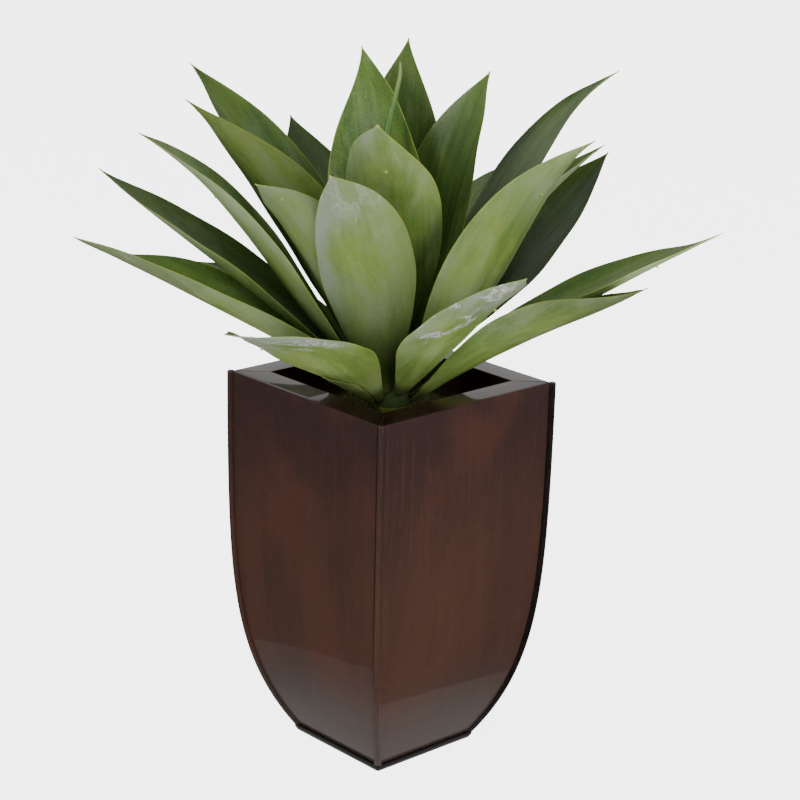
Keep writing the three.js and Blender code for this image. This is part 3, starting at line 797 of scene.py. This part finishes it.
def leaf_nub(number, row, along, across, size):
    """Points of a moulding nub on the underside, at shares of the length and of the half width."""
    wide, tall, deep = size
    places = zip((along, across), NUB_PROBE)
    skin = leaf_skins(number, row, *(np.array([x - step, x, x + step]) for x, step in places))[0]
    foot = skin[1, 1]
    u = skin[1, 2] - skin[1, 0]
    v = skin[2, 1] - skin[0, 1]
    u, v = u / np.linalg.norm(u), v / np.linalg.norm(v)
    w = np.cross(v, u)
    inward = foot - leaf_skins(number, row, np.array([along]), np.array([across]))[1][0, 0]
    w = w if np.dot(w, inward) > 0 else -w
    rings = [(-NUB_ROOT, NUB_ROOT_SHARE)] + [(level * tall, share) for level, share in NUB_RINGS]
    points = []
    for height, share in rings:
        for k in range(NUB_SIDES):
            a = 2 * math.pi * k / NUB_SIDES
            shift = deep * share * math.sin(a) + NUB_SLANT * height
            points.append(foot + u * wide * share * math.cos(a) + v * shift + w * height)
    return points


def leaf_mesh(number, row):
    """Points in mm, faces and attributes of a whole leaf."""
    t = np.linspace(0, 1, LEAF_ROWS + 1)
    t = np.clip(t + ROW_SHIFT * np.sin(math.pi * t) * t, 0, 1)
    turns = np.linspace(-1, 1, LEAF_COLUMNS + 1) * math.pi / 2 * COLUMN_SPREAD
    s = np.sin(turns) / math.sin(math.pi / 2 * COLUMN_SPREAD)
    under, upper, half_width = leaf_skins(number, row, t, s)
    length = row[5]
    rows, columns = len(t), len(s)
    under_light, upper_light, bloom, wrinkle = LEAF_TONES_AND_PAINTED_LIGHT.get(number, USUAL_TONE_AND_LIGHT)
    rim_out = MARGIN_THICKNESS * MARGIN_ROUNDING
    shade = SHADES.get(number, SHORT_SHADE if number in OUTERMOST else LONG_SHADE)
    late = LATE_BLOOM.get(number, NOT_LATE)
    lean = BLOOM_LEAN.get(number, 0)
    film_side = FILM_SIDE.get(number)
    outer = OUTER_SHADE.get(number, 1)

    points, flat, place, tone_and_light, marks_and_shade = [], [], [], [], []

    def add(p, k, j, side):
        points.append(p)
        edge = half_width[k] * (1 - abs(s[j]))
        flat.append((s[j] * half_width[k] * MM, t[k] * length * MM, number * LEAF_OFFSET))
        place.append((t[k], s[j], side))
        share = bloom * float(smooth(late - 0.1, late + 0.15, t[k])) * (1 + lean * s[j])
        # The lightness is partly the leaf's own colour and partly painted light and shade, and the outer half
        # of some leaves gets painted shade.
        light = under_light + (upper_light - under_light) * side
        light = light * (1 - (1 - outer) * smooth(0.5, 0.75, t[k]))
        tone_and_light.append((edge, float(light), share))
        film = wrinkle * float(smooth(-0.3, 0.25, film_side * s[j])) if film_side else wrinkle
        marks_and_shade.append((film, 0.0, shade))

    # One ring is the underside, the rounded margin, the upper face and the other margin.
    for k in range(rows):
        for j in range(columns):
            add(under[k, j], k, j, 0.0)
        for j, step in ((columns - 1, 1), (0, -1)):
            middle = (under[k, j] + upper[k, j]) / 2
            outward = middle - (under[k, j - step] + upper[k, j - step]) / 2
            outward = outward / max(np.linalg.norm(outward), 1e-6) * rim_out
            add(middle + outward, k, j, 0.3)
            if step == 1:
                for i in reversed(range(columns)):
                    add(upper[k, i], k, i, 1.0)
    count = 2 * columns + 2
    points = np.array(points)

    # The neck goes back from the foot into the stem.
    along = leaf_axes(row, t[:1])[0][0]
    ring = points[:count]
    middle = ring.mean(0)
    neck = []
    for distance, share in zip((NECK_LENGTH, NECK_LENGTH / 2), NECK_SHARES):
        neck.append(middle + (ring - middle) * share - along * distance)
    points = np.vstack(neck + [points])
    flat, place, tone_and_light, marks_and_shade = (values[:count] * 2 + values for values in (flat, place, tone_and_light, marks_and_shade))
    faces = ring_faces(rows + 2, count)

    nubs = [(*NUBS.get(number, NUB_PLACE), NUB_SIZE, NUB_MARK)]
    nubs += [(share, PIP_ACROSS, PIP_SIZE, PIP_MARK) for share in PIPS]
    if number in WITHOUT_NUB:
        nubs = []
    for share, sideways, size, mark in nubs:
        body = leaf_nub(number, row, share, sideways, size)
        faces += ring_faces(len(body) // NUB_SIDES, NUB_SIDES, offset=len(points))
        points = np.vstack([points, body])
        flat += [(0.0, share * length * MM, number * LEAF_OFFSET)] * len(body)
        place += [(share, sideways, 0.0)] * len(body)
        tone_and_light += [(OFF_MARGIN, under_light, bloom)] * len(body)
        marks_and_shade += [(0.0, mark, shade)] * len(body)
    return points, faces, {"leaf_flat": flat, "leaf_place": place, "leaf_tone_and_light": tone_and_light, "leaf_marks_and_shade": marks_and_shade}


def add_leaves():
    skin = leaf_material()
    for number, row in enumerate(LEAVES, 1):
        points, faces, attributes = leaf_mesh(number, row)
        piece = make_object(f"agave_leaf_{number:02d}", points, faces, skin, 60, attributes)
        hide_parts(f"leaf_{number:02d}")


def spline(points, values, steps):
    """Catmull-Rom line through points, with values carried along."""
    p = np.array(points, float)
    p = np.vstack([2 * p[0] - p[1], p, 2 * p[-1] - p[-2]])
    out, carried = [], []
    spans = len(points) - 1
    for k in range(steps + 1):
        place = min(k / steps * spans, spans - 1e-9)
        i = int(place)
        u = place - i
        a, b, c, d = p[i:i + 4]
        out.append(0.5 * (2 * b + (c - a) * u + (2 * a - 5 * b + 4 * c - d) * u * u
                          + (3 * b - a - 3 * c + d) * u ** 3))
        carried.append(values[i] * (1 - u) + values[i + 1] * u)
    return np.array(out), np.array(carried)


def add_rolled_leaf():
    """Slim roll, whose outer edge stands up as a low ridge on one side."""
    line, radii = spline(SPEAR_LINE, SPEAR_RADII, SPEAR_STEPS)
    points = []
    for k, (centre, radius) in enumerate(zip(line, radii)):
        for i in range(SPEAR_SIDES):
            share = i / SPEAR_SIDES
            a = 2 * math.pi * i / SPEAR_SIDES + SPEAR_TWIST * k
            lap = 1 + SPEAR_LAP * share - SPEAR_LAP * smooth(SPEAR_LAP_FROM, 1.0, np.array(share))
            points.append(centre + np.array([math.cos(a), math.sin(a), 0]) * radius * lap * SPEAR_INSET)
    faces = ring_faces(SPEAR_STEPS + 1, SPEAR_SIDES)
    piece = make_object("rolled_young_leaf", points, faces, young_leaf_material(), 50)
    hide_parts("rolled_leaf")


# Planter


def side_half(z):
    """Half the planter's width at a height."""
    below = 1 - np.asarray(z, float) / POT_HEIGHT
    return RIM_HALF - SIDE_LEAN * below ** 2 - FOOT_DRAW * below ** FOOT_POWER


def wall_profile():
    """Outline of a wall's section, as distance from the axis and height."""
    foot = BASE_THICKNESS + GAP
    top = POT_HEIGHT - RIM_FOLD_RADIUS
    heights = foot + (top - foot) * np.linspace(0, 1, WALL_ROWS + 1) ** ROW_POWER
    outer = [(float(side_half(z)), z) for z in heights]
    inner = [(float(side_half(z)) - SHEET, z) for z in heights]
    outer_fold, inner_fold = [], []
    for k in range(1, FOLD_STEPS + 1):
        a = k / FOLD_STEPS * math.pi / 2
        centre = RIM_HALF - RIM_FOLD_RADIUS
        outer_fold.append((centre + RIM_FOLD_RADIUS * math.cos(a), top + RIM_FOLD_RADIUS * math.sin(a)))
        inside = RIM_FOLD_RADIUS - SHEET
        inner_fold.append((centre + inside * math.cos(a), top + inside * math.sin(a)))
    lip = RIM_HALF - RIM_WIDTH
    rounding = [(lip + SHEET_EDGE, POT_HEIGHT), (lip, POT_HEIGHT - SHEET_EDGE),
                (lip, POT_HEIGHT - SHEET + SHEET_EDGE), (lip + SHEET_EDGE, POT_HEIGHT - SHEET)]
    return outer + outer_fold + rounding + inner_fold[::-1] + inner[::-1]


def wall_half_length(distance, z):
    """Half a wall's length, which ends at the corner strips and, on the lip, at the mitres."""
    beside = float(side_half(min(z, POT_HEIGHT - RIM_FOLD_RADIUS))) - BEAD_RADIUS - GAP
    if z > POT_HEIGHT - RIM_FOLD_RADIUS:
        return min(beside, distance - MITRE_GAP / 2)
    return beside


def lip_polish_and_painted_shade(tone_and_light, toward_corner, z):
    """Tone and polish of the lacquer: on the lips towards the front corner it is duller and has painted
    shade, deepest close to the corner.
    """
    if z < POT_HEIGHT - LIP_DEPTH:
        return tone_and_light, 1.0, 0.0
    near = float(smooth(DULL_FROM, DULL_TO, toward_corner))
    corner = float(smooth(CORNER_FROM, CORNER_TO, toward_corner))
    # Painted shade on the front lips, deeper close to the front corner.
    dark = 1 - (1 - LIP_PAINTED_SHADE) * near - (LIP_PAINTED_SHADE - CORNER_PAINTED_SHADE) * corner
    return tone_and_light * dark, 1 - (1 - DULL_LIP) * near, 0.0


def add_walls(skin):
    """Four bent sheets, one turned round for each side."""
    profile = wall_profile()
    count = len(profile)
    shares = np.linspace(-1, 1, WALL_COLUMNS + 1)
    points = [(share * wall_half_length(d, z), -d, z) for share in shares for d, z in profile]
    faces = ring_faces(len(shares), count)
    for k, (name, tone_and_light) in enumerate(WALLS.items()):
        front = {"wall_front_left": 1, "wall_front_right": -1}.get(name)
        # Painted light and shade: each wall's factor, with painted shade on the front lips towards the front
        # corner.
        toned = [lip_polish_and_painted_shade(tone_and_light, front * x, z) if front else (tone_and_light, 1.0, 0.0) for x, _, z in points]
        piece = make_object("planter_" + name, turned(points, 90 * k), faces, skin, 30, {"wall_light_and_polish": toned})
        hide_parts(name)


def add_beads(skin):
    """Rounded corners, duller towards the foot, each with a dark seam on its left, seen from outside."""
    foot = BASE_THICKNESS + GAP
    top = POT_HEIGHT - BEAD_ROUNDING
    heights = list(foot + (top - foot) * np.linspace(0, 1, WALL_ROWS + 1) ** ROW_POWER)
    radii = [BEAD_RADIUS] * len(heights)
    for k in range(1, BEAD_TOP_STEPS + 1):
        a = k / BEAD_TOP_STEPS * math.pi / 2
        heights.append(POT_HEIGHT - BEAD_ROUNDING * (1 - math.sin(a)))
        radii.append(BEAD_RADIUS - BEAD_ROUNDING * (1 - math.cos(a)))
    points = []
    for z, radius in zip(heights, radii):
        corner = float(side_half(z))
        for i in range(BEAD_SIDES):
            a = 2 * math.pi * i / BEAD_SIDES
            points.append((corner + radius * math.cos(a), -corner + radius * math.sin(a), z))
    points = np.array(points)
    faces = ring_faces(len(heights), BEAD_SIDES)
    seam = black_material()
    polish = DULL_FOOT + (1 - DULL_FOOT) * smooth(0, DULL_FOOT_HEIGHT, points[:, 2])
    for k, (name, tone_and_light) in enumerate(BEADS.items()):
        # Each corner strip's factor of painted light and shade.
        tones = {"wall_light_and_polish": [(tone_and_light, share, 0) for share in polish]}
        piece = make_object("planter_bead_" + name, turned(points, 90 * k), faces, skin, 50, tones)
        piece.data.materials.append(seam)
        for face in piece.data.polygons:
            x, y = turned([face.center / MM], -90 * k)[0][:2]
            corner = float(side_half(face.center[2] / MM))
            bearing = math.degrees(math.atan2(y + corner, x - corner)) - CORNER_BEARING
            bearing = (bearing + 180) % 360 - 180
            if bearing < SEAM_BEARING and len(face.vertices) == 4:
                face.material_index = 1
        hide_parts("corner_bead_" + name)


def add_base_plate():
    """Plate with a black upper band and an edge that is drawn in towards the floor."""
    points = []
    for outset, z in BASE_EDGE:
        middle = BASE_HALF + outset - BASE_CORNER_RADIUS
        for quarter in range(4):
            for k in range(BASE_CORNER_STEPS + 1):
                a = math.pi / 2 * (quarter + k / BASE_CORNER_STEPS)
                cx = middle * (1 if quarter in (0, 3) else -1)
                cy = middle * (1 if quarter in (0, 1) else -1)
                x = cx + BASE_CORNER_RADIUS * math.cos(a)
                y = cy + BASE_CORNER_RADIUS * math.sin(a)
                points.append((x, y, z))
    faces = ring_faces(len(BASE_EDGE), 4 * (BASE_CORNER_STEPS + 1))
    piece = make_object("planter_base_plate", points, faces, black_material(), 25)
    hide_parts("base_plate")


# Filling


def moss_edge(angle):
    """Radius of the mound's wavy edge."""
    return MOSS_RADIUS + MOSS_WAVE * np.sin(3 * angle + 0.6) + 0.6 * MOSS_WAVE * np.sin(7 * angle + 2.1)


def moss_height(radius, angle):
    """Height of the lumpy top."""
    edge = moss_edge(angle)
    share = (radius - MOSS_HOLE) / (edge - MOSS_HOLE)
    body = np.interp(share, MOSS_SHARES, MOSS_HEIGHTS)
    x, y = radius * np.cos(angle), radius * np.sin(angle)
    lumps = sum(tall * lattice(x / wide, y / wide, layer, seed) for tall, wide, layer, seed in MOSS_LUMPS)
    return np.minimum(body + lumps * smooth(0.04, 0.2, share), MOSS_TOP)


def moss_body():
    """Points and faces of the mound, as sections round the stem's hole."""
    shares = np.linspace(0, 1, MOSS_RINGS)
    section = len(shares) + 2
    points = []
    for a in np.linspace(0, 2 * math.pi, MOSS_SECTORS, endpoint=False):
        edge = float(moss_edge(a))
        radii = MOSS_HOLE + (edge - MOSS_HOLE) * shares
        tops = moss_height(radii, np.full_like(radii, a))
        points.append((MOSS_HOLE * math.cos(a), MOSS_HOLE * math.sin(a), MOSS_BOTTOM))
        points += [(r * math.cos(a), r * math.sin(a), z) for r, z in zip(radii, tops)]
        foot = edge - MOSS_UNDERCUT
        points.append((foot * math.cos(a), foot * math.sin(a), MOSS_BOTTOM))
    faces = []
    for k in range(MOSS_SECTORS):
        here, there = k * section, (k + 1) % MOSS_SECTORS * section
        for i in range(section):
            j = (i + 1) % section
            faces.append((here + i, here + j, there + j, there + i))
    points = np.array(points)
    return points, outward_faces(points, faces)


def moss_strands(first):
    """Points and faces of short curved strands that stand out of the mound, numbered from the first point."""
    draw = np.random.default_rng(STRAND_SEED)
    points, faces = [], []
    for _ in range(STRANDS):
        a = draw.uniform(0, 2 * math.pi)
        edge = float(moss_edge(a))
        r = MOSS_HOLE + STRAND_INSET + (edge - MOSS_HOLE - STRAND_INSET) * math.sqrt(draw.uniform(0, 1))
        z = float(moss_height(np.array([r]), np.array([a]))[0])
        foot = np.array([r * math.cos(a), r * math.sin(a), z - STRAND_ROOT])
        heading = draw.uniform(0, 2 * math.pi)
        lean = draw.uniform(*STRAND_LEAN)
        tall = draw.uniform(*STRAND_HEIGHT)
        thick = draw.uniform(*STRAND_THICKNESS)
        side = np.array([math.cos(heading), math.sin(heading), 0.0])
        normal = np.array([-side[1], side[0], 0.0])
        faces += ring_faces(len(STRAND_RINGS), 3, offset=first + len(points))
        for share, size in STRAND_RINGS:
            centre = foot + side * lean * tall * share ** STRAND_BEND + np.array([0, 0, tall * share])
            for k in range(3):
                b = 2 * math.pi * k / 3
                points.append(centre + (side * math.cos(b) + normal * math.sin(b)) * thick * size)
    return points, faces


def add_moss():
    points, faces = moss_body()
    strand_points, strand_faces = moss_strands(len(points))
    points = np.vstack([points, strand_points])
    piece = make_object("moss_mound", points, faces + strand_faces, moss_material(), 80)
    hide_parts("moss_layer")


def add_twig():
    """Loose twig with ribbed bark that leans out of the moss."""
    line, radii = spline(TWIG_LINE, TWIG_RADII, TWIG_STEPS)
    points = []
    for k, (centre, radius) in enumerate(zip(line, radii)):
        for i in range(TWIG_SIDES):
            a = 2 * math.pi * i / TWIG_SIDES
            bark = 1 + TWIG_BARK * math.sin(3 * a + 0.9 * k)
            points.append(centre + np.array([math.cos(a), math.sin(a), 0.3 * math.cos(a)]) * radius * bark)
    faces = ring_faces(TWIG_STEPS + 1, TWIG_SIDES)
    piece = make_object("loose_twig", points, faces, twig_material(), 60)


def finish_carried_nodes():
    """Skins of the stem and of the fill, whose solids are used as they are."""
    for name, skin in (("stem", stem_material()), ("soil_fill", soil_material())):
        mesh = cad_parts[name].data
        mesh.materials.clear()
        mesh.materials.append(skin)


# Stage


def add_sheet(name, corners, height, material):
    """Flat sheet of the stage."""
    mesh = bpy.data.meshes.new(name)
    mesh.from_pydata([(x, y, height) for x, y in corners], [], [tuple(range(len(corners)))])
    mesh.materials.append(material)
    return placed(name, mesh)


def add_floor():
    """White floor that looks as bright as the backdrop."""
    m = Shader("floor_white")
    grain = m.noise(m.position(), (6, 6, 6), 2, 0.5)
    color = m.mix(grain, srgb("f2f2f2"), srgb("f8f8f8"))
    seen = m.add("ShaderNodeLightPath").outputs["Is Camera Ray"]
    m.put(m.bsdf.inputs["Emission Strength"], m.span(seen, 0, 1, FLOOR_GLOW, FLOOR_SEEN))
    m.finish(color, 0.9, Specular_IOR_Level=0.1, Emission_Color=WHITE)
    corners = [(FLOOR_REACH * x, FLOOR_REACH * y) for x, y in ((-1, -1), (1, -1), (1, 1), (-1, 1))]
    floor = add_sheet("floor", corners, 0, m.material)
    floor.visible_glossy = False


def add_card():
    """Glowing sheet round the planter's foot, which only the lacquer mirrors: it stands in for the floor in
    reflections, brightest near the foot.
    """
    m = Shader("card_glow")
    x, y, _ = m.split(m.position())
    away = m.math("SQRT", m.math("ADD", m.times(x, x), m.times(y, y)))
    glow = m.span(away, *CARD_SPAN, CARD_FOOT_GLOW, CARD_EDGE_GLOW)
    m.put(m.bsdf.inputs["Emission Strength"], glow)
    m.finish(BLACK, 0.9, Emission_Color=WHITE, Specular_IOR_Level=0.0)
    card = add_sheet("floor_card", CARD_OUTLINE, CARD_HEIGHT, m.material)
    card.visible_camera = False
    card.visible_diffuse = False
    card.visible_shadow = False


def add_area(name, azimuth, rise, power):
    """Soft round light that faces the plant."""
    lamp = bpy.data.lights.new(name, "AREA")
    lamp.shape = "DISK"
    lamp.size = LIGHT_SIZE
    lamp.energy = power
    a = math.radians(CAMERA_AZIMUTH - 90 + azimuth)
    e = math.radians(rise)
    aim = Vector((0, 0, LIGHT_AIM))
    toward = Vector((math.cos(a) * math.cos(e), math.sin(a) * math.cos(e), math.sin(e)))
    place = aim + LIGHT_DISTANCE * toward
    turn = (place - aim).to_track_quat("Z", "Y").to_matrix().to_4x4()
    placed(name, lamp).matrix_world = Matrix.Translation(place) @ turn


def add_world():
    """White seen straight on, an even soft fill, and a pale backdrop that gloss mirrors behind."""
    world = bpy.data.worlds.new("studio")
    m = Graph(world)
    path = m.add("ShaderNodeLightPath").outputs
    x, y, z = m.split(m.add("ShaderNodeTexCoord").outputs["Generated"])
    a = math.radians(CAMERA_AZIMUTH)
    behind = m.math("ADD", m.times(x, -math.sin(a)), m.times(y, math.cos(a)))
    backdrop = m.times(m.span(behind, *BACKDROP_SPAN), m.span(z, *HORIZON_SPAN))
    overhead = m.span(z, *OVERHEAD_SPAN, 0, OVERHEAD_GLOSS)
    gloss = m.math("ADD", m.times(backdrop, BACKDROP_GLOSS), overhead)
    gloss = m.math("ADD", gloss, DARK_GLOSS)
    mirrored = m.times(path["Is Glossy Ray"], m.math("SUBTRACT", gloss, WORLD_FILL))
    unseen = m.math("ADD", mirrored, WORLD_FILL)
    seen = m.times(path["Is Camera Ray"], m.math("SUBTRACT", WORLD_SEEN, unseen))
    background = m.nodes["Background"]
    background.inputs["Color"].default_value = WHITE
    m.put(background.inputs["Strength"], m.math("ADD", unseen, seen))
    bpy.context.scene.world = world


def add_lights():
    add_world()
    for name, azimuth, rise, power in LIGHTS:
        add_area(name, azimuth, rise, power)


def add_camera():
    """Camera at the photograph's place, with its slight roll."""
    a, e, roll = (math.radians(x) for x in (CAMERA_AZIMUTH, CAMERA_RISE, CAMERA_ROLL))
    back = Vector((math.sin(a) * math.cos(e), -math.cos(a) * math.cos(e), math.sin(e)))
    right = Vector((math.cos(a), math.sin(a), 0))
    up = back.cross(right)
    tilted_right = right * math.cos(roll) + up * math.sin(roll)
    tilted_up = up * math.cos(roll) - right * math.sin(roll)
    place = Vector((0, 0, CAMERA_AIM)) + right * CAMERA_SIDE + back * CAMERA_DISTANCE
    camera = bpy.data.cameras.new("camera")
    camera.lens = CAMERA_LENS
    camera.sensor_width = SENSOR_WIDTH
    camera.clip_end = CLIP_END
    holder = placed("camera", camera)
    turn = Matrix((tilted_right, tilted_up, back)).transposed().to_4x4()
    holder.matrix_world = Matrix.Translation(place) @ turn
    bpy.context.scene.camera = holder


add_leaves()
add_rolled_leaf()
lacquer = lacquer_material()
add_walls(lacquer)
add_beads(lacquer)
add_base_plate()
add_moss()
add_twig()
finish_carried_nodes()
add_floor()
add_card()
add_lights()
add_camera()
